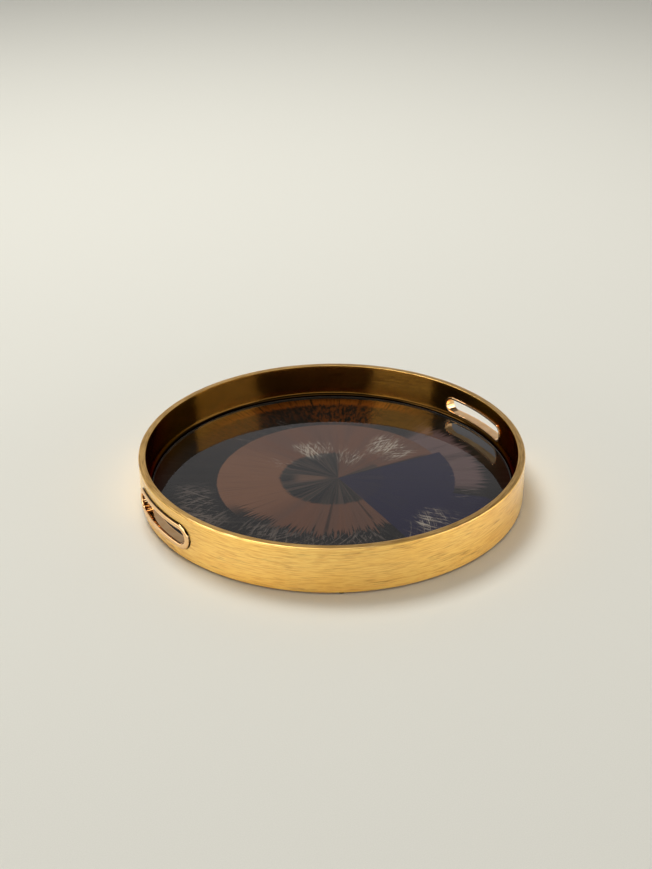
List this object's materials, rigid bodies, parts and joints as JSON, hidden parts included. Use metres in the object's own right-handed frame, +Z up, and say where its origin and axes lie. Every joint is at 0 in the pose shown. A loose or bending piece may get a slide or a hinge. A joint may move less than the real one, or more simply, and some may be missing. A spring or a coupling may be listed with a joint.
{
  "type": "serving tray",
  "caption": "Round serving tray with a gilded wooden hoop, a decorated glass-topped floor and brass-lined hand slots.",
  "frame": {"origin": "centre of the plane that the feet rest on, on the tray's axis", "axes": "+Z up along the tray's axis, +X through the middle of the right hand slot"},
  "size_m": [0.4868, 0.48, 0.0588],
  "materials": {
    "gilded_hoop": "brass leaf over dark brown, brushed round the hoop and lacquered satin",
    "base_board": "raw fibreboard",
    "felt": "black pressed felt",
    "backing_card": "grey card",
    "decor_paint": "painted sheet with radial brush marks in copper brown, blue black and silver",
    "clear_glass": "clear, polished",
    "black_seal": "matte black",
    "polished_brass": "polished and lacquered"
  },
  "bodies": {
    "root": {"rim_hoop": "gilded_hoop", "base_board": "base_board", "underside_felt": "felt", "backing_card": "backing_card", "decor_sheet": "decor_paint", "glass_disc": "clear_glass", "glass_seal": "black_seal", "handle_liner_right": "polished_brass", "handle_liner_left": "polished_brass", "handle_ring_right": "polished_brass", "handle_ring_left": "polished_brass", "foot_pad_1": "felt", "foot_pad_2": "felt", "foot_pad_3": "felt", "foot_pad_4": "felt", "foot_pad_5": "felt", "foot_pad_6": "felt"}
  },
  "joints": []
}
